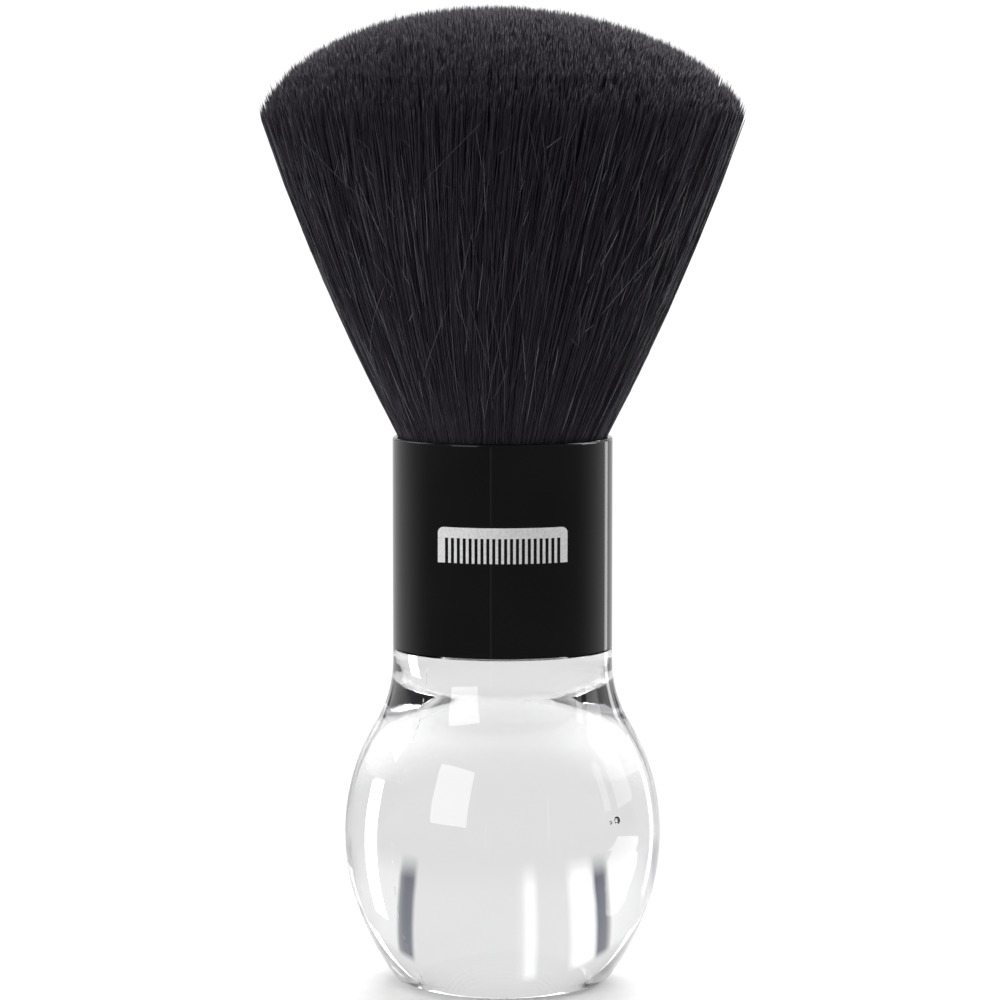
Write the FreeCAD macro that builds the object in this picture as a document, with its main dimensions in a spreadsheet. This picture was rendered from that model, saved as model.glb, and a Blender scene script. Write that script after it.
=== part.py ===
import FreeCAD, Part
import math
import os

import Sketcher

# Neck duster brush: a solid clear knob handle whose spigot is bonded into a black ferrule,
# and a flared, dome-cut hair knot that is set with resin in a cup inside the ferrule.
# The frame is +Z up with its origin at the centre of the flat foot, and sizes are in millimetres.

V = FreeCAD.Vector
UP = V(0, 0, 1)
ORIGIN = (-1, 1)  # the sketch's own origin, as a constraint names it
R_AXIS, Z_AXIS = -1, -2  # the sketch's horizontal and vertical axes

SIZES = {
    # handle
    "foot_edge_diameter": 32.4,  # where the belly would meet the floor with no rounding
    "foot_round": 3.6,
    "belly_diameter": 49.0,
    "belly_height": 23.4,
    "neck_curve": 19.2,
    "neck_land": 2.2,
    "shoulder_height": 52.4,
    "shoulder_chamfer": 0.3,
    "spigot_length": 12.0,
    "spigot_chamfer": 0.8,
    "key_width": 1.5,
    "key_depth": 0.6,
    "key_margin": 2.2,  # plain stretch of the spigot below the first groove and above the last
    "key_count": 3,
    # ferrule
    "ferrule_diameter": 34.0,
    "ferrule_length": 32.5,
    "ferrule_wall": 0.8,
    "ferrule_lip_round": 0.38,
    "ferrule_lead_in": 0.25,
    # cup and what sets the knot in it
    "bond_gap": 0.15,
    "mouth_depth": 5.4,  # from the ferrule's lip down to the cup's rim
    "cup_wall": 1.0,
    "cup_floor": 1.4,
    "cup_floor_round": 0.8,
    "cup_rim_chamfer": 0.4,
    "vent_diameter": 2.0,
    "vent_circle": 18.0,
    "vent_count": 4,
    "resin_depth": 4.5,
    "thread_diameter": 0.8,
    "thread_pitch": 0.85,
    "thread_turns": 3,
    "thread_above_resin": 1.0,
    # hair knot
    "hair_gap": 0.1,
    "hair_rim_diameter": 74.2,
    "hair_rim_height": 134.2,
    "hair_height": 151.0,
    "crown_overhang": 1.4,
    "flare_curve": 330.0,
    # printed comb
    "mark_raise": 0.9,
    "ink_depth": 0.05,
    "comb_length": 19.6,
    "comb_height": 5.4,
    "comb_back": 1.6,
    "comb_guard": 1.1,
    "comb_corner": 0.9,
    "comb_tooth": 0.42,
    "comb_teeth": 19,
}

doc = FreeCAD.newDocument("neck_duster")
sheet = doc.addObject("Spreadsheet::Sheet", "Sizes")


class Size:
    """A length that knows both its number and the expression that gives it."""

    def __init__(self, text, value):
        self.text = text
        self.value = value

    def __add__(self, other):
        return joined(self, "+", other, lambda a, b: a + b)

    def __sub__(self, other):
        return joined(self, "-", other, lambda a, b: a - b)

    def __mul__(self, other):
        return joined(self, "*", other, lambda a, b: a * b)

    def __truediv__(self, other):
        return joined(self, "/", other, lambda a, b: a / b)


def joined(left, sign, right, work):
    right = right if isinstance(right, Size) else Size(str(right), right)
    return Size(f"({left.text} {sign} {right.text})", work(left.value, right.value))


def smaller(left, right):
    return Size(f"min({left.text}; {right.text})", min(left.value, right.value))


def fill_sheet():
    for row, (name, number) in enumerate(SIZES.items(), start=1):
        sheet.set(f"A{row}", name)
        sheet.set(f"B{row}", str(number))
        sheet.setAlias(f"B{row}", name)
    doc.recompute()


def size(name):
    return Size(f"Sizes.{name}", float(SIZES[name]))


def bind(thing, where, what):
    """Ties one property of a document object to an expression."""
    thing.setExpression(where, what.text if isinstance(what, Size) else str(what))


def new_body(name, height=None):
    body = doc.addObject("PartDesign::Body", name)
    body.Label = name
    if height is not None:
        bind(body, "Placement.Base.z", height)
    return body


def new_sketch(body, name, plane="XZ_Plane"):
    sketch = body.newObject("Sketcher::SketchObject", name)
    home = next(o for o in body.Origin.OriginFeatures if o.Role == plane)
    sketch.AttachmentSupport = [(home, "")]
    sketch.MapMode = "FlatFace"
    return sketch


def pin_point(sketch, geometry, point, label, across, along):
    """Fixes one point of a sketch. A plain 0 puts it on the axis, anything else is a bound distance."""
    for kind, axis, amount in (("DistanceX", Z_AXIS, across), ("DistanceY", R_AXIS, along)):
        if amount is None:
            continue
        if amount == 0:
            sketch.addConstraint(Sketcher.Constraint("PointOnObject", geometry, point, axis))
            continue
        at = sketch.addConstraint(Sketcher.Constraint(kind, *ORIGIN, geometry, point, amount.value))
        mark = f"{label}_{kind[-1].lower()}"
        sketch.renameConstraint(at, mark)
        bind(sketch, f"Constraints.{mark}", amount)


def number(amount):
    return amount.value if isinstance(amount, Size) else float(amount)


def closed_outline(sketch, corners):
    """Straight lines through the corners, each corner pinned by its own two bound distances."""
    spots = [V(number(x), number(y), 0) for x, y in corners]
    first = sketch.GeometryCount
    for i, spot in enumerate(spots):
        sketch.addGeometry(Part.LineSegment(spot, spots[(i + 1) % len(spots)]), False)
    for i, (across, along) in enumerate(corners):
        before = first + (i - 1) % len(spots)
        sketch.addConstraint(Sketcher.Constraint("Coincident", before, 2, first + i, 1))
        pin_point(sketch, first + i, 1, f"corner{first + i}", across, along)
    return first


def add_circle(sketch, label, diameter, across=0):
    at = sketch.addGeometry(Part.Circle(V(number(across), 0, 0), UP, diameter.value / 2), False)
    pin_point(sketch, at, 3, f"{label}_centre", across, 0)
    hold = sketch.addConstraint(Sketcher.Constraint("Diameter", at, diameter.value))
    sketch.renameConstraint(hold, label)
    bind(sketch, f"Constraints.{label}", diameter)


def revolve(body, sketch, name="turned"):
    turned = body.newObject("PartDesign::Revolution", name)
    turned.Profile = sketch
    turned.ReferenceAxis = (sketch, ["V_Axis"])
    turned.Angle = 360
    doc.recompute()
    return turned


def pad(body, sketch, length, name="pad", both_ways=False):
    block = body.newObject("PartDesign::Pad", name)
    block.Profile = sketch
    block.Midplane = both_ways
    bind(block, "Length", length)
    doc.recompute()
    return block


def circle_edges(feature, radius, height):
    """Names of the circular edges at a height in the body's own frame."""
    near = 1e-4
    found = []
    for i, edge in enumerate(feature.Shape.Edges, start=1):
        curve = edge.Curve
        if not isinstance(curve, Part.Circle):
            continue
        if abs(curve.Radius - radius.value) < near and abs(curve.Center.z - number(height)) < near:
            found.append(f"Edge{i}")
    if not found:
        raise RuntimeError(f"{feature.Name} has no edge of radius {radius.value} at {number(height)}")
    return found


def dress(body, kind, feature, edges, amount):
    """A fillet or a chamfer on some edges of the body's last feature."""
    dressed = body.newObject(f"PartDesign::{kind}", kind.lower())
    dressed.Base = (feature, edges)
    bind(dressed, "Radius" if kind == "Fillet" else "Size", amount)
    doc.recompute()
    return dressed


def cut_less(before, after):
    """A pocket that points away from the solid removes nothing and shows no error."""
    if not after.Shape.Volume < before.Shape.Volume - 1e-3:
        raise RuntimeError(f"{after.Name} removed nothing")


fill_sheet()

# Places and radii that more than one piece uses, all worked out from the sheet.
ferrule_radius = size("ferrule_diameter") / 2
bore_radius = ferrule_radius - size("ferrule_wall")
bond_radius = bore_radius - size("bond_gap")  # outside of the spigot and of the cup
shoulder_z = size("shoulder_height")
spigot_top_z = shoulder_z + size("spigot_length")
cup_z = spigot_top_z + size("bond_gap")
cup_inner_radius = bond_radius - size("cup_wall")
resin_z = cup_z + size("cup_floor")
resin_top_z = resin_z + size("resin_depth")
ferrule_top_z = shoulder_z + size("ferrule_length")
cup_top_z = ferrule_top_z - size("mouth_depth")
cup_height = cup_top_z - cup_z
root_radius = cup_inner_radius - size("hair_gap")
mouth_radius = bore_radius - size("hair_gap")
thread_z = resin_top_z + size("thread_above_resin")
thread_stack = size("thread_pitch") * size("thread_turns")
rim_radius = size("hair_rim_diameter") / 2


def make_handle():
    """The clear knob: foot, belly, waisted neck and the keyed spigot that the ferrule slips over."""
    body = new_body("handle")
    sketch = new_sketch(body, "knob_outline")
    foot, belly = size("foot_edge_diameter") / 2, size("belly_diameter") / 2
    belly_z, neck_z = size("belly_height"), shoulder_z - size("neck_land")
    bend = size("neck_curve")
    top_inset = bond_radius - size("spigot_chamfer")
    chamfer_z = spigot_top_z - size("spigot_chamfer")

    # The belly's two arcs and the neck's arc stand on the belly's and the neck's own heights.
    lower_x = (belly.value**2 - foot.value**2 - belly_z.value**2) / (2 * (belly.value - foot.value))
    lower_r = belly.value - lower_x
    drop, rise = belly.value - ferrule_radius.value, neck_z.value - belly_z.value
    upper_r = (rise**2 + drop**2) / (2 * drop) - bend.value
    upper_x, neck_x = belly.value - upper_r, ferrule_radius.value + bend.value
    lean = math.atan2(rise, neck_x - upper_x)

    def arc(x, z, radius, start, stop):
        ring = Part.Circle(V(x, z, 0), UP, radius)
        return sketch.addGeometry(Part.ArcOfCircle(ring, start, stop), False)

    def line(x1, z1, x2, z2):
        ends = [V(number(x1), number(z1), 0), V(number(x2), number(z2), 0)]
        return sketch.addGeometry(Part.LineSegment(*ends), False)

    def meet(first, first_end, second, second_end):
        joint = Sketcher.Constraint("Coincident", first, first_end, second, second_end)
        sketch.addConstraint(joint)

    base = line(0, 0, foot, 0)
    lower = arc(lower_x, belly_z.value, lower_r, -math.asin(belly_z.value / lower_r), 0)
    upper = arc(upper_x, belly_z.value, upper_r, 0, lean)
    neck = arc(neck_x, neck_z.value, bend.value, math.pi, math.pi + lean)
    land = line(ferrule_radius, neck_z, ferrule_radius, shoulder_z - size("shoulder_chamfer"))
    bevel = line(
        ferrule_radius,
        shoulder_z - size("shoulder_chamfer"),
        ferrule_radius - size("shoulder_chamfer"),
        shoulder_z,
    )
    shoulder = line(ferrule_radius - size("shoulder_chamfer"), shoulder_z, bond_radius, shoulder_z)
    side = line(bond_radius, shoulder_z, bond_radius, chamfer_z)
    nose = line(bond_radius, chamfer_z, top_inset, spigot_top_z)
    top = line(top_inset, spigot_top_z, 0, spigot_top_z)
    axis = line(0, spigot_top_z, 0, 0)

    meet(base, 2, lower, 1)
    meet(lower, 2, upper, 1)
    sketch.addConstraint(Sketcher.Constraint("Tangent", upper, 2, neck, 2))
    meet(neck, 1, land, 1)
    for before, after in zip(
        (land, bevel, shoulder, side, nose, top, axis),
        (bevel, shoulder, side, nose, top, axis, base),
    ):
        meet(before, 2, after, 1)
    pin_point(sketch, base, 1, "axis_foot", 0, 0)
    pin_point(sketch, base, 2, "foot_edge", foot, 0)
    pin_point(sketch, lower, 2, "belly", belly, belly_z)
    pin_point(sketch, lower, 3, "lower_centre", None, belly_z)
    pin_point(sketch, upper, 3, "upper_centre", None, belly_z)
    pin_point(sketch, neck, 1, "neck", ferrule_radius, neck_z)
    pin_point(sketch, neck, 3, "neck_centre", ferrule_radius + bend, neck_z)
    pin_point(sketch, bevel, 1, "bevel_low", ferrule_radius, shoulder_z - size("shoulder_chamfer"))
    pin_point(sketch, bevel, 2, "bevel_high", ferrule_radius - size("shoulder_chamfer"), shoulder_z)
    pin_point(sketch, side, 1, "spigot_low", bond_radius, shoulder_z)
    pin_point(sketch, side, 2, "spigot_high", bond_radius, chamfer_z)
    pin_point(sketch, top, 1, "nose", top_inset, spigot_top_z)
    pin_point(sketch, top, 2, "axis_top", 0, spigot_top_z)
    knob = revolve(body, sketch, "knob")
    rounded = dress(body, "Fillet", knob, circle_edges(knob, foot, 0), size("foot_round"))

    # Key grooves that the bond fills, so that the ferrule can't pull off.
    key_sketch = new_sketch(body, "key_outline")
    low = shoulder_z + size("key_margin")
    deep, proud = bond_radius - size("key_depth"), ferrule_radius
    high = low + size("key_width")
    closed_outline(key_sketch, [(deep, low), (proud, low), (proud, high), (deep, high)])
    key = body.newObject("PartDesign::Groove", "key")
    key.Profile = key_sketch
    key.ReferenceAxis = (key_sketch, ["V_Axis"])
    key.Angle = 360
    doc.recompute()
    cut_less(rounded, key)
    keys = body.newObject("PartDesign::LinearPattern", "keys")
    keys.Originals = [key]
    keys.Direction = (key_sketch, ["V_Axis"])
    bind(keys, "Occurrences", size("key_count"))
    bind(keys, "Length", size("spigot_length") - size("key_margin") * 2 - size("key_width"))
    body.Tip = keys
    doc.recompute()
    cut_less(key, keys)
    return body


def make_ferrule():
    """The black tube, seated on the handle's shoulder, with a rounded lip where the hair comes out."""
    body = new_body("ferrule", shoulder_z)
    sketch = new_sketch(body, "wall_outline")
    length = size("ferrule_length")
    closed_outline(
        sketch,
        [(bore_radius, 0), (ferrule_radius, 0), (ferrule_radius, length), (bore_radius, length)],
    )
    tube = revolve(body, sketch, "tube")
    lip = circle_edges(tube, ferrule_radius, length) + circle_edges(tube, bore_radius, length)
    lip_round = smaller(size("ferrule_lip_round"), size("ferrule_wall") * 0.475)
    rolled = dress(body, "Fillet", tube, lip, lip_round)
    lead = circle_edges(rolled, bore_radius, 0)
    dress(body, "Chamfer", rolled, lead, size("ferrule_lead_in"))
    return body


def cylinder(name, radius, height, at):
    post = doc.addObject("Part::Cylinder", name)
    bind(post, "Radius", radius)
    bind(post, "Height", height)
    bind(post, "Placement.Base.z", at)
    return post


def boolean(kind, name, base, tool):
    made = doc.addObject(f"Part::{kind}", name)
    made.Base = base
    made.Tool = tool
    made.Label = name
    doc.recompute()
    return made


def make_ferrule_bond(handle, ferrule):
    """The adhesive between spigot and ferrule: it fills the gap, the key grooves and the lead-in."""
    blank = cylinder("bond_blank", ferrule_radius, size("spigot_length"), shoulder_z)
    around_spigot = boolean("Cut", "bond_round_spigot", blank, handle)
    return boolean("Cut", "ferrule_bond", around_spigot, ferrule)


def make_knot_cup():
    """The cup that the knot is set in, with vents in its floor that trapped air leaves by."""
    body = new_body("knot_cup", cup_z)
    outside = new_sketch(body, "outside", "XY_Plane")
    add_circle(outside, "outer", bond_radius * 2)
    block = pad(body, outside, cup_height, "block")
    inside = new_sketch(body, "inside", "XY_Plane")
    bind(inside, "AttachmentOffset.Base.z", size("cup_floor"))
    add_circle(inside, "inner", cup_inner_radius * 2)
    hollow = body.newObject("PartDesign::Pocket", "hollow")
    hollow.Profile = inside
    hollow.Reversed = True
    bind(hollow, "Length", cup_height)
    doc.recompute()
    cut_less(block, hollow)
    corner = circle_edges(hollow, cup_inner_radius, size("cup_floor"))
    rounded = dress(body, "Fillet", hollow, corner, size("cup_floor_round"))
    rim = circle_edges(rounded, cup_inner_radius, cup_height)
    bevelled = dress(body, "Chamfer", rounded, rim, size("cup_rim_chamfer"))
    vent_sketch = new_sketch(body, "vent_outline", "XY_Plane")
    add_circle(vent_sketch, "vent_size", size("vent_diameter"), size("vent_circle") / 2)
    vent = body.newObject("PartDesign::Pocket", "vent")
    vent.Profile = vent_sketch
    vent.Reversed = True
    bind(vent, "Length", size("cup_floor"))
    doc.recompute()
    cut_less(bevelled, vent)
    vents = body.newObject("PartDesign::PolarPattern", "vents")
    vents.Originals = [vent]
    vents.Axis = (vent_sketch, ["N_Axis"])
    vents.Angle = 360
    bind(vents, "Occurrences", size("vent_count"))
    body.Tip = vents
    doc.recompute()
    cut_less(vent, vents)
    return body


def make_cup_bond():
    """The adhesive film round the cup and under it, on the spigot's end."""
    height = cup_top_z - spigot_top_z
    blank = cylinder("cup_bond_blank", bore_radius, height, spigot_top_z)
    room = cylinder("cup_room", bond_radius, height, cup_z)
    return boolean("Cut", "cup_bond", blank, room)


def make_knot_resin(cup):
    """The resin that fills the cup's floor and holds the hair roots."""
    blank = cylinder("resin_blank", bond_radius, size("cup_floor") + size("resin_depth"), cup_z)
    return boolean("Cut", "knot_resin", blank, cup)


def make_binding_thread():
    """Turns of waxed thread, side by side, that tie the hair together above the resin."""
    turns = []
    thick = size("thread_diameter")
    for turn in range(int(SIZES["thread_turns"])):
        ring = doc.addObject("Part::Torus", f"thread_turn_{turn + 1}")
        bind(ring, "Radius1", root_radius - thick / 2)
        bind(ring, "Radius2", thick / 2)
        bind(ring, "Placement.Base.z", thread_z + size("thread_pitch") * (turn + 0.5))
        turns.append(ring)
    thread = doc.addObject("Part::Compound", "binding_thread")
    thread.Links = turns
    thread.Label = "binding_thread"
    doc.recompute()
    return thread


def make_hair_knot():
    """The hair as one soft solid: roots in the cup, a waist in the thread, the flare and the domed crown."""
    body = new_body("hair_flare")
    sketch = new_sketch(body, "flare_outline")
    waist = root_radius - size("thread_diameter")
    rim_z = size("hair_rim_height")
    spread_z = cup_top_z + (mouth_radius - root_radius)
    corners = [
        (0, resin_top_z),
        (root_radius, resin_top_z),
        (root_radius, thread_z),
        (waist, thread_z),
        (waist, thread_z + thread_stack),
        (root_radius, thread_z + thread_stack),
        (root_radius, cup_top_z),
        (mouth_radius, spread_z),
        (mouth_radius, ferrule_top_z),
        (rim_radius, rim_z),
        (0, rim_z),
    ]
    flare_line = corners.index((mouth_radius, ferrule_top_z))
    spots = [V(number(x), number(y), 0) for x, y in corners]
    low, high = spots[flare_line], spots[flare_line + 1]
    chord = high - low
    bend = size("flare_curve")
    half_turn = math.asin(chord.Length / 2 / bend.value)
    bulge = V(chord.y, -chord.x, 0).normalize() * bend.value * (1 - math.cos(half_turn))
    for i, spot in enumerate(spots):
        after = spots[(i + 1) % len(spots)]
        side = Part.LineSegment(spot, after)
        if i == flare_line:
            side = Part.Arc(spot, (spot + after) / 2 + bulge, after)
        sketch.addGeometry(side, False)
    for i, (across, along) in enumerate(corners):
        before = (i - 1) % len(corners)
        sketch.addConstraint(Sketcher.Constraint("Coincident", before, 2, i, 1))
        pin_point(sketch, i, 1, f"corner{i}", across, along)
    hold = sketch.addConstraint(Sketcher.Constraint("Radius", flare_line, bend.value))
    sketch.renameConstraint(hold, "flare")
    bind(sketch, "Constraints.flare", bend)
    revolve(body, sketch, "flare")

    crown = doc.addObject("Part::Ellipsoid", "crown")
    across = rim_radius + size("crown_overhang")
    lift = size("hair_height") - rim_z
    start = f"acos({rim_radius.text} / {across.text})"
    tall = f"({lift.text} / (1 - sin({start})))"
    crown.setExpression("Radius2", across.text)
    crown.setExpression("Radius1", tall)
    crown.setExpression("Angle1", start)
    crown.Angle2 = 90
    crown.Angle3 = 360
    crown.setExpression("Placement.Base.z", f"{size('hair_height').text} - {tall}")
    doc.recompute()
    return boolean("Fuse", "hair_knot", body, crown)


def make_printed_mark():
    """A plain comb, teeth down, printed in white ink on the ferrule's front."""
    middle = shoulder_z + size("ferrule_length") / 2 + size("mark_raise")
    comb = new_body("comb", middle)
    sketch = new_sketch(comb, "comb_outline")
    minus = Size("-1", -1.0)
    right = size("comb_length") / 2
    left = minus * right
    top = size("comb_height") / 2
    bottom = minus * top
    under_back = top - size("comb_back")
    guard = size("comb_guard")
    closed_outline(
        sketch,
        [
            (left, bottom),
            (left + guard, bottom),
            (left + guard, under_back),
            (right - guard, under_back),
            (right - guard, bottom),
            (right, bottom),
            (right, top),
            (left, top),
        ],
    )
    through = size("ferrule_diameter") * 2
    frame = pad(comb, sketch, through, "frame", both_ways=True)
    corners = [
        f"Edge{i}"
        for i, edge in enumerate(frame.Shape.Edges, start=1)
        if all(abs(abs(end.X) - right.value) < 1e-4 for end in edge.Vertexes)
        and all(abs(end.Z - top.value) < 1e-4 for end in edge.Vertexes)
    ]
    dress(comb, "Fillet", frame, corners, size("comb_corner"))

    tooth_sketch = new_sketch(comb, "tooth_outline")
    room = size("comb_length") - guard * 2
    space = (room - size("comb_tooth") * size("comb_teeth")) / (size("comb_teeth") + 1)
    near = left + guard + space
    far = near + size("comb_tooth")
    into = top - size("comb_back") / 2
    closed_outline(tooth_sketch, [(near, bottom), (far, bottom), (far, into), (near, into)])
    tooth = pad(comb, tooth_sketch, through, "tooth", both_ways=True)
    teeth = comb.newObject("PartDesign::LinearPattern", "teeth")
    teeth.Originals = [tooth]
    teeth.Direction = (tooth_sketch, ["H_Axis"])
    bind(teeth, "Occurrences", size("comb_teeth"))
    bind(teeth, "Length", (space + size("comb_tooth")) * (size("comb_teeth") - 1))
    comb.Tip = teeth
    doc.recompute()

    length = size("ferrule_length")
    ink_outside = cylinder("ink_outside", ferrule_radius + size("ink_depth"), length, shoulder_z)
    ink_inside = cylinder("ink_inside", ferrule_radius, length, shoulder_z)
    film = boolean("Cut", "ink_film", ink_outside, ink_inside)
    front = doc.addObject("Part::Box", "front_half")
    bind(front, "Length", through)
    bind(front, "Width", through)
    bind(front, "Height", length)
    bind(front, "Placement.Base.x", minus * through / 2)
    bind(front, "Placement.Base.y", minus * through)
    bind(front, "Placement.Base.z", shoulder_z)
    front_film = boolean("Common", "front_film", film, front)
    return boolean("Common", "printed_mark", front_film, comb)


def main():
    handle = make_handle()
    ferrule = make_ferrule()
    cup = make_knot_cup()
    pieces = [
        handle,
        ferrule,
        make_ferrule_bond(handle, ferrule),
        cup,
        make_cup_bond(),
        make_knot_resin(cup),
        make_binding_thread(),
        make_hair_knot(),
        make_printed_mark(),
    ]
    doc.recompute()
    for thing in doc.Objects:
        if {"Invalid", "Error"} & set(thing.State):
            raise RuntimeError(f"{thing.Name} failed: {thing.State}")
    os.makedirs("parts", exist_ok=True)
    for piece in pieces:
        shape = piece.Shape
        if shape.isNull() or not shape.isValid() or not shape.Solids:
            raise RuntimeError(f"{piece.Label} has no valid solid")
        shape.exportStep(f"parts/{piece.Label}.step")
        box = shape.BoundBox
        print(
            f"{piece.Label}: {len(shape.Solids)} solid(s), {shape.Volume:.1f} mm3, "
            f"z {box.ZMin:.2f} to {box.ZMax:.2f}, across {box.XLength:.2f}"
        )


main()
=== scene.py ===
import math

import bpy
import numpy as np
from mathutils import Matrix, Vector


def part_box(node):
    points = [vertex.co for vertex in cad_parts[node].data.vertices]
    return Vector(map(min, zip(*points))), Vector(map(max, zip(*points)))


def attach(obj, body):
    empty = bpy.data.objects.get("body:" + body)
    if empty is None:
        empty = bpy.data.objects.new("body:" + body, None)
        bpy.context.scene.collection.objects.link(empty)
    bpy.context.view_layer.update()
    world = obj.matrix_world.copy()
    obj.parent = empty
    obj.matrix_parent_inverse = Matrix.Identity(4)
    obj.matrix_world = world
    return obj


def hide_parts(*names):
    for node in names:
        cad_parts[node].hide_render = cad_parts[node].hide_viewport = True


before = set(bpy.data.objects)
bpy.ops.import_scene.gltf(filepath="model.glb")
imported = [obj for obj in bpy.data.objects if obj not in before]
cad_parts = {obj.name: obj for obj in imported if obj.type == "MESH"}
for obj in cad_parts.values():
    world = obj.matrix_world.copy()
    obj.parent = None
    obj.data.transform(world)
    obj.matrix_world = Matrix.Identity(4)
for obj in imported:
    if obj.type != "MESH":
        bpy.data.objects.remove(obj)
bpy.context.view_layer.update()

mm = 0.001
rng = np.random.default_rng(41)

# Places that several pieces share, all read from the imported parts.
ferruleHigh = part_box("ferrule")[1]
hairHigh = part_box("hair_knot")[1]
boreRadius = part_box("cup_bond")[1].x
mouthZ = ferruleHigh.z
topZ = hairHigh.z
rimRadius = hairHigh.x
rimZ = max(
    vertex.co.z
    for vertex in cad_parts["hair_knot"].data.vertices
    if vertex.co.xy.length > 0.999 * rimRadius
)


class Wire:
    # A node's output that takes part in sums: a + b adds a Math node to its tree.
    def __init__(self, tree, socket):
        self.tree = tree
        self.socket = socket

    def math(self, operation, *values):
        node = self.tree.nodes.new("ShaderNodeMath")
        node.operation = operation
        for place, value in enumerate(values):
            plug(self.tree, node.inputs[place], value)
        return Wire(self.tree, node.outputs[0])

    def __add__(self, other):
        return self.math("ADD", self, other)

    __radd__ = __add__

    def __sub__(self, other):
        return self.math("SUBTRACT", self, other)

    def __rsub__(self, other):
        return self.math("SUBTRACT", other, self)

    def __mul__(self, other):
        return self.math("MULTIPLY", self, other)

    __rmul__ = __mul__

    def __truediv__(self, other):
        return self.math("DIVIDE", self, other)

    def __rtruediv__(self, other):
        return self.math("DIVIDE", other, self)

    def __pow__(self, other):
        return self.math("POWER", self, other)

    def __rpow__(self, other):
        return self.math("POWER", other, self)


def plug(tree, socket, value):
    if isinstance(value, Wire):
        tree.links.new(value.socket, socket)
    else:
        socket.default_value = value


class Nodes:
    # A node tree and the one way to add a node to it.
    def __init__(self, tree):
        self.tree = tree
        tree.nodes.clear()

    def node(self, kind, settings=None, sockets=None, output=0):
        node = self.tree.nodes.new("ShaderNode" + kind)
        for name, value in (settings or {}).items():
            if name == "stops":
                ramp = node.color_ramp
                while len(ramp.elements) < len(value):
                    ramp.elements.new(0.5)
                for element, (at, color) in zip(ramp.elements, value):
                    element.position = at
                    element.color = color
            else:
                setattr(node, name, value)
        for name, value in (sockets or {}).items():
            plug(self.tree, node.inputs[name], value)
        return Wire(self.tree, node.outputs[output])

    def output(self, wire, number):
        # another output of the same node
        return Wire(self.tree, wire.socket.node.outputs[number])

    def between(self, value, span, low, high, way="SMOOTHSTEP"):
        # low up to the span's start, high from its end on
        return self.node("MapRange", {"interpolation_type": way}, {
            "Value": value, "From Min": span[0], "From Max": span[1],
            "To Min": low, "To Max": high,
        })


class Finish(Nodes):
    # One material with its Principled shader.
    def __init__(self, name, **fixed):
        self.material = bpy.data.materials.new(name)
        self.material.use_nodes = True
        super().__init__(self.material.node_tree)
        self.surface = self.tree.nodes.new("ShaderNodeOutputMaterial").inputs["Surface"]
        self.shader = self.tree.nodes.new("ShaderNodeBsdfPrincipled")
        self.tree.links.new(self.shader.outputs[0], self.surface)
        self.place = self.node("TexCoord", output=3)
        self.set(**fixed)

    def set(self, **values):
        for name, value in values.items():
            plug(self.tree, self.shader.inputs[socketNames[name]], value)

    def noise(self, scale, detail, stretch=1.0):
        # stretch below 1 draws the grain out along Z
        place = self.place
        if stretch != 1.0:
            place = self.node("Mapping", {}, {"Vector": place, "Scale": (1, 1, stretch)})
        return self.node("TexNoise", {}, {"Vector": place, "Scale": scale, "Detail": detail})

    def ramp(self, amount, *stops):
        return self.node("ValToRGB", {"stops": stops}, {"Fac": amount})

    def bump(self, height, strength, distance):
        self.set(normal=self.node(
            "Bump", {}, {"Height": height, "Strength": strength, "Distance": distance}
        ))

    def fade(self, amount):
        clear = self.node("BsdfTransparent")
        blend = self.node("MixShader", {}, {"Fac": amount})
        mixer = blend.socket.node
        self.tree.links.new(self.shader.outputs[0], mixer.inputs[1])
        self.tree.links.new(clear.socket, mixer.inputs[2])
        self.tree.links.new(blend.socket, self.surface)

    def paint(self, *pieces):
        for piece in pieces:
            piece.data.materials.clear()
            piece.data.materials.append(self.material)


socketNames = {
    "baseColor": "Base Color",
    "roughness": "Roughness",
    "ior": "IOR",
    "iorLevel": "Specular IOR Level",
    "transmission": "Transmission Weight",
    "normal": "Normal",
}


def grey(level):
    return (level, level, level, 1)


def addPiece(name, mesh, replaced=()):
    piece = bpy.data.objects.new(name, mesh)
    bpy.context.scene.collection.objects.link(piece)
    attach(piece, "root")
    if replaced:
        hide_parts(*replaced)
    return piece


def fillMesh(name, points, corners, starts):
    # points is (n, 3); corners lists each face's points in turn, from each of starts
    mesh = bpy.data.meshes.new(name)
    mesh.vertices.add(len(points))
    mesh.vertices.foreach_set("co", np.ascontiguousarray(points, np.float32).ravel())
    mesh.loops.add(len(corners))
    mesh.loops.foreach_set("vertex_index", np.ascontiguousarray(corners, np.int32))
    mesh.polygons.add(len(starts))
    mesh.polygons.foreach_set("loop_start", np.ascontiguousarray(starts, np.int32))
    mesh.update(calc_edges=True)
    mesh.polygons.foreach_set("use_smooth", np.ones(len(starts), bool))
    return mesh


def lathe(name, outline, turns):
    # A closed solid turned about Z. The outline runs from the axis back to the axis.
    ring = np.linspace(0, 2 * math.pi, turns, endpoint=False)
    points = [(0, 0, outline[0][1])]
    for radius, z in outline[1:-1]:
        points += [(radius * math.cos(a), radius * math.sin(a), z) for a in ring]
    points.append((0, 0, outline[-1][1]))
    last = len(points) - 1
    rows = len(outline) - 2
    faces = []
    for i in range(turns):
        j = (i + 1) % turns
        faces.append((0, 1 + j, 1 + i))
        for row in range(rows - 1):
            low = 1 + row * turns
            faces.append((low + i, low + j, low + turns + j, low + turns + i))
        top = 1 + (rows - 1) * turns
        faces.append((top + i, top + j, last))
    mesh = bpy.data.meshes.new(name)
    mesh.from_pydata(points, [], faces)
    mesh.shade_smooth()
    return mesh


viewing = {
    "distance": 0.6,
    "lookDown": math.radians(5.2),
    "lens": 139.7,
    "aside": -0.4 * mm,
    "belowMiddle": 0.5 * mm,
}


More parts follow.
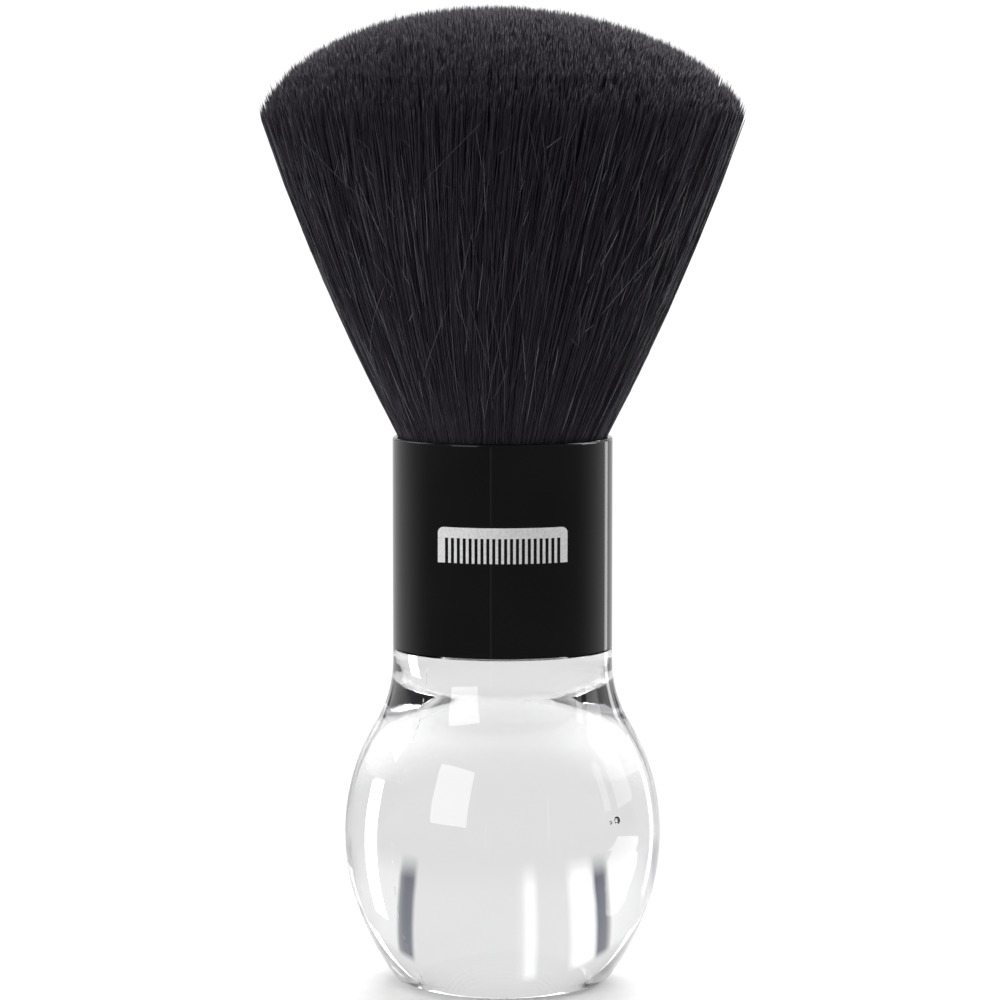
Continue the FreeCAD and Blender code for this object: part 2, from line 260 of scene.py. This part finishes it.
def makeCamera():
    data = bpy.data.cameras.new("camera")
    data.lens = viewing["lens"]
    data.sensor_width = 36
    data.clip_start = 0.01
    camera = bpy.data.objects.new("camera", data)
    bpy.context.scene.collection.objects.link(camera)
    middle = topZ / 2 - viewing["belowMiddle"]
    reach = viewing["distance"]
    camera.location = (
        viewing["aside"],
        -reach * math.cos(viewing["lookDown"]),
        middle + reach * math.sin(viewing["lookDown"]),
    )
    camera.rotation_euler = (math.pi / 2 - viewing["lookDown"], 0, 0)
    bpy.context.scene.camera = camera


# Each softbox: bearing from the camera's side round to the right, height angle, distance,
# width, height (all metres and degrees) and the brightness of its face.
softboxes = {
    "keyBox": (-40, 17, 0.6, 0.3, 0.33, 4.4),
    "highBox": (-60, 66, 0.6, 0.26, 0.38, 1.9),
    "overheadBox": (176, 62, 0.7, 0.6, 0.5, 2.6),
    "rimBox": (172, 40, 0.7, 0.7, 0.3, 9.5),
    "leftWing": (-112, 32, 0.6, 0.26, 0.3, 3.2),
    "rightWing": (112, 34, 0.6, 0.3, 0.34, 7.0),
    "backStripRight": (138, -8, 0.7, 0.1, 0.4, 2.8),
    "rightStrip": (103, 20, 0.6, 0.2, 0.42, 1.5),
    "sideCardRight": (83, 12, 0.5, 0.06, 0.2, 1.6),
    "seamStrip": (-12, -4, 0.55, 0.008, 0.14, 1.0),
}
lighting = {
    "aim": (0, 0, 70 * mm),
    "hiddenInKnob": ("rimBox",),  # its bright face would show through the clear knob
}


def makeLights():
    aim = Vector(lighting["aim"])
    for name, (bearing, rise, reach, width, height, face) in softboxes.items():
        data = bpy.data.lights.new(name, "AREA")
        data.shape = "RECTANGLE"
        data.size = width
        data.size_y = height
        data.energy = face * math.pi * width * height
        box = bpy.data.objects.new(name, data)
        bpy.context.scene.collection.objects.link(box)
        turn, lift = math.radians(bearing), math.radians(rise)
        way = Vector((
            math.sin(turn) * math.cos(lift), -math.cos(turn) * math.cos(lift), math.sin(lift)
        ))
        box.location = aim + way * reach
        box.rotation_euler = way.to_track_quat("Z", "Y").to_euler()
        box.visible_camera = False
        box.visible_transmission = name not in lighting["hiddenInKnob"]


# Brightness of the studio round the brush. Pairs say where a change starts and ends, from -1 in
# front to 1 behind, or by the sine of the height angle. Each stop of the wall is a bearing from
# straight behind, turning past the right, the camera and the left, with a grey or a colour.
surround = {
    "back": 0.9,
    "front": 0.36,
    "frontToBack": (-0.2, 0.55),
    "top": 0.5,
    "sideToTop": (0.35, 0.95),
    "seen": 1.05,
    "wallFoot": (-0.09, -0.01),
    "wallTop": (0.37, 0.43),
    "lean": 0.75,
    "wall": [
        (0, 0.92), (22.5, 0.92), (24, (0.16, 0.17, 0.22)), (28, (0.22, 0.23, 0.26)), (29, 1.05),
        (50, 1.0), (62, (0.88, 0.87, 0.9)), (66, (0.8, 0.8, 0.83)), (70, (0.4, 0.4, 0.43)),
        (84, (0.4, 0.4, 0.43)), (88, (0.65, 0.65, 0.67)), (125, 0.4), (235, 0.4),
        (274, (0.7, 0.7, 0.72)), (278, (0.45, 0.45, 0.48)), (296, (0.5, 0.5, 0.54)),
        (300, (0.85, 0.85, 0.9)), (309, 1.0), (329.5, 1.1), (331, (0.22, 0.23, 0.26)),
        (335, (0.16, 0.17, 0.22)), (336.5, 1.5), (342, 1.5), (344, 0.92), (352, 0.92),
        (353, 1.25), (355, 1.25), (356, 0.92),
    ],
}


def makeWorld():
    # a light tent: white behind with a dark gap on each side, dimmer towards the camera
    world = bpy.data.worlds.new("studio")
    bpy.context.scene.world = world
    world.use_nodes = True
    sky = Nodes(world.node_tree)
    toRight = sky.node("SeparateXYZ", {}, {"Vector": sky.node("TexCoord")})
    toBack = sky.output(toRight, 1)
    upward = sky.output(toRight, 2)
    behind = sky.between(toBack, surround["frontToBack"], surround["front"], surround["back"])
    above = sky.between(upward, surround["sideToTop"], 0.0, surround["top"])
    # the panels behind lean apart towards the top
    bearing = toRight.math("ARCTAN2", toRight, toBack) / (2 * math.pi)
    bearing = bearing * (1 - upward * surround["lean"])
    turned = bearing.math("FRACT", bearing + 1.0)
    wall = sky.node("ValToRGB", {"stops": [
        (at / 360, grey(color) if isinstance(color, float) else (*color, 1))
        for at, color in surround["wall"]
    ]}, {"Fac": turned})
    low = sky.between(upward, surround["wallFoot"], 0.0, 1.0, "LINEAR")
    high = sky.between(upward, surround["wallTop"], 1.0, 0.0, "LINEAR")
    plain = behind.math("MAXIMUM", behind, above)
    tent = sky.node("MixRGB", {}, {"Fac": low * high, "Color1": plain, "Color2": wall})
    # the backdrop itself is white
    shown = sky.node("MixRGB", {}, {
        "Fac": sky.node("LightPath"), "Color1": tent, "Color2": grey(surround["seen"]),
    })
    glow = sky.node("Background", {}, {"Color": shown})
    out = sky.tree.nodes.new("ShaderNodeOutputWorld")
    sky.tree.links.new(glow.socket, out.inputs["Surface"])


floorSize = {
    "radius": 0.46,
    "thickness": 2 * mm,
    "drop": 0.2 * mm,  # the paper lies this far under the foot
    "fade": (28 * mm, 85 * mm),
}


def makeFloor():
    edge, under = floorSize["radius"], -floorSize["thickness"]
    mesh = lathe("floor", [(0, under), (edge, under), (edge, 0), (0, 0)], 96)
    floor = bpy.data.objects.new("floor", mesh)
    bpy.context.scene.collection.objects.link(floor)
    floor.location.z = -floorSize["drop"]
    paper = Finish("paper", roughness=0.9, iorLevel=0.1)
    grain = paper.node("TexNoise", {}, {"Scale": 220.0, "Detail": 3.0})
    paper.set(baseColor=paper.ramp(grain, (0.3, grey(0.63)), (0.7, grey(0.66))))
    # the paper thins out to nothing, so no edge or horizon shows
    fromMiddle = paper.node("VectorMath", {"operation": "LENGTH"}, {0: paper.place}, output=1)
    paper.fade(paper.between(fromMiddle, floorSize["fade"], 0.0, 1.0))
    paper.paint(floor)


hairSize = {
    "thickness": 0.13 * mm,
    "unevenness": (0.7, 1.2),  # of the thickness
    "bulge": 1.2 * mm,  # how far the flare stands out from a straight cone
    "domePower": 0.61,
    "peakShift": 0.035,  # how far left of the middle the crown is highest, as a share of the rim
    "twist": 0.13,  # the whole knot turns a little towards its tips
    "rootDepth": 4 * mm,  # how far below the ferrule's lip the strands start
    "tipSpread": 0.2 * mm,
    "tipLength": 0.9 * mm,
    "cutBelow": 0.3 * mm,  # how far the cut lies below the dome, and its unevenness
    "cutSpread": 0.28 * mm,
    "cutShort": 6 * mm,  # how far the shorter strands stop below that
    "wander": 0.5 * mm,
    "ripple": 0.13 * mm,
    "rippleTurn": (5, 11),  # radians of ripple along a strand
    "scatter": 0.012,  # how far round each strand stands from its lock
    "crossing": 0.055,  # the same for the strands that cross over others
    "crossingShare": 0.4,
    "coreShare": 0.82,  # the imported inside, as a share of the radius
    "coreDepth": 4.5 * mm,  # and how far it stays below the tips
}

# How light each strand is, and how its tone, the painted highlight streaks along it and the
# painted rim light and shade at its tip lift the colour.
hairShade = {
    "lockContrast": 14,  # how much neighbouring locks differ, and its limits
    "lockRange": (0.2, 1.4),
    "strand": 0.9,  # the palest strand, and the mix of many dark ones and few pale ones
    "strandMix": (1.5, 3.5),
    "tone": 0.55,
    # the glint keys set the painted highlight streaks
    "glintFrom": 0.42,
    "glint": 0.7,
    "glintWithTone": 2.2,
    # the tip keys paint rim light on pale tips and shade on dark ones
    "tipPower": 12,
    "tipPaintedLight": 2.5,
    "tipPaintedShade": 0.35,
}

# Each layer: strands, points along each, inner and outer share of the radius, share cut short.
hairLayers = {
    "hair_outer_1": (4800, 8, 0.93, 1.0, 0.3),
    "hair_outer_2": (4800, 8, 0.88, 1.0, 0.35),
    "hair_outer_3": (4800, 8, 0.84, 0.99, 0.4),
}
for number in range(1, 6):
    hairLayers[f"hair_crown_{number}"] = (8600, 5, 0.0, 0.9, 0.3)

# Locks as wide as a finger's tip down to a few strands: how many round, how far, where from.
lockWaves = (
    (23, 0.008, 0.4), (41, 0.006, 2.1), (67, 0.005, 4.0), (109, 0.0035, 1.2),
    (173, 0.0024, 5.3), (281, 0.0015, 0.9),
)


def flareRadius(share):
    # share is 0 at the ferrule's mouth and 1 at a strand's tip
    mouth = boreRadius - 0.1 * mm
    up = np.maximum(share, 0)
    return mouth + (rimRadius - mouth) * up + 4 * hairSize["bulge"] * up * (1 - up)


def domeHeight(spot, angle):
    # spot is the share of the rim's radius
    fromPeak = spot + hairSize["peakShift"] * np.cos(angle) * (1 - spot**2)
    inside = np.clip(1 - fromPeak**2, 0, 1)
    return rimZ + (topZ - rimZ) * inside ** hairSize["domePower"]


def clumpTurn(angle):
    # hair gathers into locks: a small turn that squeezes and spreads strands round the flare
    turn = np.zeros_like(angle)
    for count, size, start in lockWaves:
        turn += size * np.sin(count * angle + start)
    return turn


def buildStrands(name, paths, widths, tones):
    # paths is (strands, points, 3); each strand is a three-sided tube that ends in a point
    count, steps, _ = paths.shape
    along = np.gradient(paths, axis=1)
    along /= np.linalg.norm(along, axis=2, keepdims=True) + 1e-12
    outward = paths[:, -1:, :] * np.array([1, 1, 0]) + np.array([1e-6, 0, 0])
    side = np.cross(along, outward)
    side /= np.linalg.norm(side, axis=2, keepdims=True) + 1e-12
    front = np.cross(along, side)
    twist = rng.uniform(0, 2 * math.pi, (count, 1, 1))
    rings = []
    for corner in range(3):
        turn = twist + corner * 2 * math.pi / 3
        rings.append(paths + (side * np.cos(turn) + front * np.sin(turn)) * widths[..., None] / 2)
    tube = np.stack(rings, axis=2)[:, :-1].reshape(count, (steps - 1) * 3, 3)
    points = np.concatenate([tube, paths[:, -1:, :]], axis=1)
    perStrand = points.shape[1]

    quads, caps = [], [(0, 1, 2)]
    quadMap, capMap = [], [((0.1, 0), (0.5, 0), (0.9, 0))]
    for step in range(steps - 2):
        for corner in range(3):
            after = (corner + 1) % 3
            low, high = step * 3, step * 3 + 3
            quads.append((low + corner, high + corner, high + after, low + after))
            left, right = corner / 3, (corner + 1) / 3
            down, up = step / (steps - 1), (step + 1) / (steps - 1)
            quadMap.append(((left, down), (left, up), (right, up), (right, down)))
    last = (steps - 2) * 3
    for corner in range(3):
        caps.append((last + corner, perStrand - 1, last + (corner + 1) % 3))
        left, right = corner / 3, (corner + 1) / 3
        down = (steps - 2) / (steps - 1)
        capMap.append(((left, down), ((left + right) / 2, 1), (right, down)))
    order = np.array(sum(map(list, quads + caps), []))
    sizes = np.array([4] * len(quads) + [3] * len(caps))
    starts = np.concatenate([[0], np.cumsum(sizes)[:-1]])
    corners = (order[None, :] + np.arange(count)[:, None] * perStrand).ravel()
    allStarts = (starts[None, :] + np.arange(count)[:, None] * len(order)).ravel()
    mesh = fillMesh(name, points.reshape(-1, 3), corners, allStarts)

    # every strand has its own cell of the UV map named OFBake
    across = math.ceil(math.sqrt(count))
    cell = np.array(sum(map(list, quadMap + capMap), []))
    home = np.stack([np.arange(count) % across, np.arange(count) // across], axis=1)
    flat = (home[:, None, :] + 0.12 + 0.76 * cell[None, :, :]) / across
    layer = mesh.uv_layers.new(name="OFBake")
    layer.data.foreach_set("uv", flat.astype(np.float32).ravel())
    height = np.concatenate([np.repeat(np.arange(steps - 1), 3), [steps - 1]]) / (steps - 1)
    for label, values in (
        ("tone", np.repeat(tones, perStrand)),
        ("along", np.tile(height, count)),
    ):
        mesh.attributes.new(label, "FLOAT", "POINT").data.foreach_set(
            "value", values.astype(np.float32)
        )
    return mesh


def layStrands(count, steps, innerShare, outerShare, cutShare):
    # roots spread evenly over the layer's ring, tips on the dome
    spot = np.sqrt(rng.uniform(innerShare**2, outerShare**2, count))
    angle = rng.uniform(0, 2 * math.pi, count)
    tipTurn = clumpTurn(angle) + rng.normal(0, hairSize["scatter"], count) + hairSize["twist"]
    crossing = rng.normal(0, hairSize["crossing"], count)
    tipTurn += crossing * (rng.uniform(size=count) < hairSize["crossingShare"])
    full = domeHeight(spot, angle + tipTurn) - mouthZ
    short = rng.uniform(size=count) < cutShare
    cut = rng.normal(hairSize["cutBelow"], hairSize["cutSpread"], count)
    cut += short * rng.uniform(0, hairSize["cutShort"], count)
    tipZ = full - cut
    # one point at the root, one at the mouth, the rest up to where the tip tapers
    step = np.linspace(0, 1, steps - 2)[None, :]
    height = np.concatenate([
        np.full((count, 1), -hairSize["rootDepth"]),
        step * (tipZ[:, None] - hairSize["tipLength"]),
        tipZ[:, None],
    ], axis=1)
    share = height / full[:, None]
    grow = np.clip(share, 0, None)
    bend = rng.laplace(0, 0.8, (count, 1)) * np.sin(math.pi * grow) * hairSize["wander"]
    wave = rng.uniform(0, 2 * math.pi, (count, 1))
    wave = wave + rng.uniform(*hairSize["rippleTurn"], (count, 1)) * grow
    bend += np.sin(wave) * rng.normal(0, hairSize["ripple"], (count, 1)) * np.minimum(grow * 4, 1)
    radius = spot[:, None] * flareRadius(share)
    radius += rng.normal(0, hairSize["tipSpread"] * 0.5, (count, 1)) * grow * spot[:, None]
    turn = angle[:, None] + tipTurn[:, None] * grow
    away = np.stack([np.cos(turn), np.sin(turn)], axis=2)
    aside = np.stack([-np.sin(turn), np.cos(turn)], axis=2)
    jitter = rng.normal(0, hairSize["tipSpread"], (count, 1, 2)) * grow[..., None]
    flat = away * radius[..., None] + aside * bend[..., None] + jitter
    paths = np.concatenate([flat, height[..., None] + mouthZ], axis=2)
    taper = np.interp(share, [0, 0.7, 1], [1.0, 1.0, 0.85])
    widths = hairSize["thickness"] * rng.uniform(*hairSize["unevenness"], (count, 1)) * taper
    # strands of one lock share a shade, and a few single strands catch the light
    shade = 0.5 + clumpTurn(angle * 1.7 + spot * 40) * hairShade["lockContrast"]
    strand = hairShade["strand"] * rng.beta(*hairShade["strandMix"], count)
    tones = np.clip(strand * np.clip(shade, *hairShade["lockRange"]), 0, 1)
    return paths, widths, tones


def makeHairFinish():
    hair = Finish("black_hair", iorLevel=0.3)
    tone = hair.node("Attribute", {"attribute_name": "tone"}, output=2)
    along = hair.node("Attribute", {"attribute_name": "along"}, output=2)
    # painted highlight: noise streaks drawn out along the strands lift the base colour, standing
    # in for glints of light
    paintedGlints = hair.noise(2200.0, 2.0, stretch=0.07)
    patch = paintedGlints.math("MAXIMUM", paintedGlints - hairShade["glintFrom"], 0.0)
    lift = tone * hairShade["tone"]
    lift = lift + patch * (hairShade["glint"] + tone * hairShade["glintWithTone"])
    # painted rim light and painted shade: towards the tips, pale strands are lit up and dark ones
    # darkened in the base colour
    tip = along ** hairShade["tipPower"]
    lift = lift + tip * (tone * hairShade["tipPaintedLight"] - hairShade["tipPaintedShade"])
    hair.set(
        baseColor=hair.ramp(
            lift,
            (0.0, (0.028, 0.0235, 0.035, 1)),
            (0.35, (0.039, 0.034, 0.047, 1)),
            (0.7, (0.066, 0.060, 0.074, 1)),
            (1.0, (0.19, 0.18, 0.2, 1)),
        ),
        roughness=0.42 + tone * 0.2,
    )
    return hair


def makeHairCore():
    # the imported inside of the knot, which closes the view between strands
    inner, depth = hairSize["coreShare"], hairSize["coreDepth"]
    outline = [(0, mouthZ - hairSize["rootDepth"])]
    for share in np.linspace(-0.08, 0.95, 12):
        z = mouthZ + share * (float(domeHeight(inner, 0)) - mouthZ)
        outline.append((inner * float(flareRadius(share)), z))
    edge = outline[-1][0]
    for turn in np.linspace(0.06, 0.94, 14):
        radius = edge * math.cos(turn * math.pi / 2)
        outline.append((radius, float(domeHeight(radius / rimRadius, 0)) - depth))
    outline.append((0, topZ - depth))
    return lathe("hair_core", outline, 128)


def makeHair():
    finish = makeHairFinish()
    core = addPiece("hair_core", makeHairCore(), ["hair_knot"])
    deep = Finish("hair_shadow", roughness=0.8, iorLevel=0.2)
    fibres = deep.noise(3000.0, 2.0, stretch=0.03)
    deep.set(baseColor=deep.ramp(fibres, (0.3, grey(0.012)), (0.75, grey(0.03))))
    deep.bump(fibres, 0.6, 0.2 * mm)
    deep.paint(core)
    for name, layer in hairLayers.items():
        mesh = buildStrands(name, *layStrands(*layer))
        piece = addPiece(name, mesh, ["hair_knot"])
        finish.paint(piece)
        print(name, len(mesh.polygons), "faces")


straySize = {
    "count": 800,
    "steps": 9,
    "thickness": 0.075 * mm,
    "lean": 0.14,
    "crossedShare": 0.16,  # the few that lie well across the others
    "crossedLean": 0.36,
    "breakCount": 150,
    "breakSteps": 6,
    "breakReach": 0.22 * mm,
}


def wrapPaths(radius, turn, share):
    # points round the flare, at a share of the way from its mouth to its rim
    height = mouthZ + share * (rimZ - mouthZ)
    return np.stack([radius * np.cos(turn), radius * np.sin(turn), height], axis=2)


def makeStrays():
    # single lighter hairs that lie along or across the others on the outside of the flare
    count, steps = straySize["count"], straySize["steps"]
    angle = rng.uniform(0, 2 * math.pi, count)
    low = rng.uniform(0.02, 0.85, count)
    high = np.minimum(low + rng.uniform(0.05, 0.3, count), 0.985)
    step = np.linspace(0, 1, steps)[None, :]
    share = low[:, None] + (high - low)[:, None] * step
    crossed = rng.uniform(size=count) < straySize["crossedShare"]
    lean = np.where(crossed, straySize["crossedLean"], straySize["lean"])
    lean = lean[:, None] * rng.normal(0, 1, (count, 1))
    curl = rng.normal(0, 0.006, (count, 1)) * np.sin(math.pi * step)
    turn = angle[:, None] + lean * (share - low[:, None]) * 1.6 + curl + hairSize["twist"] * share
    radius = flareRadius(share) + np.abs(rng.normal(0, 0.06 * mm, (count, 1))) * step**2
    widths = straySize["thickness"] * np.interp(step, [0, 0.15, 0.8, 1], [0.4, 1, 0.9, 0.4])
    widths = np.repeat(widths, count, axis=0)
    paths = wrapPaths(radius, turn, share)
    mesh = buildStrands("hair_strays", paths, widths, rng.uniform(0, 1, count) ** 2)
    return addPiece("hair_strays", mesh, ["hair_knot"])


def makeBreaks():
    # short hairs that spring out of the flare's side, one end in and one end out
    count, steps = straySize["breakCount"], straySize["breakSteps"]
    angle = rng.uniform(0, 2 * math.pi, count)
    low = rng.uniform(0.1, 0.93, count)
    step = np.linspace(0, 1, steps)[None, :]
    share = low[:, None] + rng.uniform(0.015, 0.05, count)[:, None] * step
    turn = angle[:, None] + rng.normal(0, 0.03, (count, 1)) * step
    spring = np.abs(rng.normal(0, straySize["breakReach"], (count, 1))) * step**1.5
    radius = flareRadius(share) - 0.1 * mm + spring
    widths = np.repeat(straySize["thickness"] * (1 - 0.5 * step), count, axis=0)
    paths = wrapPaths(radius, turn, share)
    mesh = buildStrands("hair_breaks", paths, widths, rng.uniform(0.2, 1, count))
    return addPiece("hair_breaks", mesh, ["hair_knot"])


def paintStrays(*pieces):
    pale = Finish("pale_hair", roughness=0.4)
    tone = pale.node("Attribute", {"attribute_name": "tone"}, output=2)
    pale.set(baseColor=pale.ramp(
        tone,
        (0.0, (0.06, 0.055, 0.066, 1)),
        (0.7, (0.17, 0.165, 0.175, 1)),
        (1.0, (0.33, 0.32, 0.33, 1)),
    ))
    pale.paint(*pieces)


# Lengths and places of the marks in the knob. Each bubble: its radius and its middle.
knobMarks = {
    "partingBearing": math.radians(-43),
    "partingWidth": 0.16 * mm,
    "neck": (36 * mm, 46 * mm),
    "neckRipple": 0.12,
    "bubbles": (
        (0.62 * mm, (16.9 * mm, -15.6 * mm, 27.6 * mm)),
        (0.28 * mm, (16.0 * mm, -16.5 * mm, 27.4 * mm)),
    ),
}


def makeAcrylic():
    clear = Finish(
        "clear_acrylic", transmission=1.0, ior=1.49, iorLevel=0.5,
        baseColor=(0.855, 0.857, 0.86, 1),
    )
    clear.set(roughness=0.004 + clear.noise(90.0, 4.0) * 0.006)
    # the polished surface is very slightly wavy
    waves = clear.noise(70.0, 1.0)
    # a faint broken seam runs down each side, where the halves of the mould met
    x = clear.node("SeparateXYZ", {}, {"Vector": clear.place})
    y = clear.output(x, 1)
    z = clear.output(x, 2)
    turn = knobMarks["partingBearing"]
    away = x * math.cos(turn) + y * math.sin(turn)
    seam = clear.between(away.math("ABSOLUTE", away), (0.0, knobMarks["partingWidth"]), 1.0, 0.0)
    dots = clear.noise(1500.0, 1.0)
    broken = dots.math("GREATER_THAN", dots, 0.55)
    # the casting flows into the neck in fine ripples
    inNeck = clear.between(z, knobMarks["neck"], 0.0, 1.0)
    ripples = clear.noise(380.0, 1.0) * inNeck * knobMarks["neckRipple"]
    clear.bump(waves * 0.5 + seam * broken * 0.3 + ripples, 1.0, 0.25 * mm)
    clear.paint(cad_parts["handle"])


def makeBubbles():
    # small air bubbles left in the casting, just under the surface
    arc = np.linspace(-1.4, 1.4, 13)
    air = Finish("trapped_air", transmission=1.0, ior=1 / 1.49, iorLevel=0.5, roughness=0.02)
    air.bump(air.noise(2500.0, 2.0), 0.5, 0.1 * mm)
    for number, (size, middle) in enumerate(knobMarks["bubbles"], 1):
        name = f"bubble_{number}"
        skin = [(size * math.cos(t), size * math.sin(t)) for t in arc]
        mesh = lathe(name, [(0, -size)] + skin + [(0, size)], 24)
        bubble = addPiece(name, mesh)
        bubble.location = middle
        air.paint(bubble)


def makeGlossBlack():
    black = Finish("black_gloss", iorLevel=0.17)
    scuffs = black.noise(900.0, 3.0, stretch=0.08)
    cloud = black.noise(60.0, 2.0)
    black.set(
        baseColor=black.ramp(
            cloud, (0.35, (0.0028, 0.0026, 0.003, 1)), (0.8, (0.006, 0.0055, 0.006, 1))
        ),
        roughness=0.05 + (scuffs - 0.5) * 0.08 * cloud + cloud * 0.03,
    )
    black.bump(scuffs, 0.02, 0.02 * mm)
    black.paint(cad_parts["ferrule"])


# Each hidden piece: its darker and lighter colour, and its roughness.
insideFinishes = {
    "knot_cup": ((0.55, 0.54, 0.5), (0.65, 0.64, 0.6), 0.45),
    "ferrule_bond": ((0.62, 0.56, 0.4), (0.76, 0.71, 0.56), 0.3),
    "cup_bond": ((0.62, 0.56, 0.4), (0.76, 0.71, 0.56), 0.3),
    "knot_resin": ((0.36, 0.22, 0.07), (0.5, 0.33, 0.12), 0.2),
    "binding_thread": ((0.5, 0.46, 0.37), (0.66, 0.61, 0.5), 0.6),
}


def makeInside():
    for node, (dark, light, rough) in insideFinishes.items():
        cast = Finish(node + "_finish", iorLevel=0.5)
        cloud = cast.noise(400.0, 4.0)
        cast.set(
            baseColor=cast.ramp(cloud, (0.3, (*dark, 1)), (0.7, (*light, 1))),
            roughness=rough + cloud * 0.1,
        )
        cast.bump(cloud, 0.15, 0.05 * mm)
        cast.paint(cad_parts[node])


def makeInk():
    ink = Finish("white_ink", roughness=0.4)
    cover = ink.noise(2500.0, 3.0)
    ink.set(baseColor=ink.ramp(cover, (0.25, grey(0.66)), (0.6, grey(0.82))))
    ink.bump(cover, 0.2, 0.01 * mm)
    ink.paint(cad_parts["printed_mark"])


makeCamera()
makeLights()
makeWorld()
makeFloor()
print("camera, lights and floor are in")
makeAcrylic()
makeBubbles()
makeGlossBlack()
makeInside()
makeInk()
print("knob, ferrule and print are finished")
makeHair()
paintStrays(makeStrays(), makeBreaks())
print("hair is laid")

bpy.context.scene.view_settings.view_transform = "Standard"
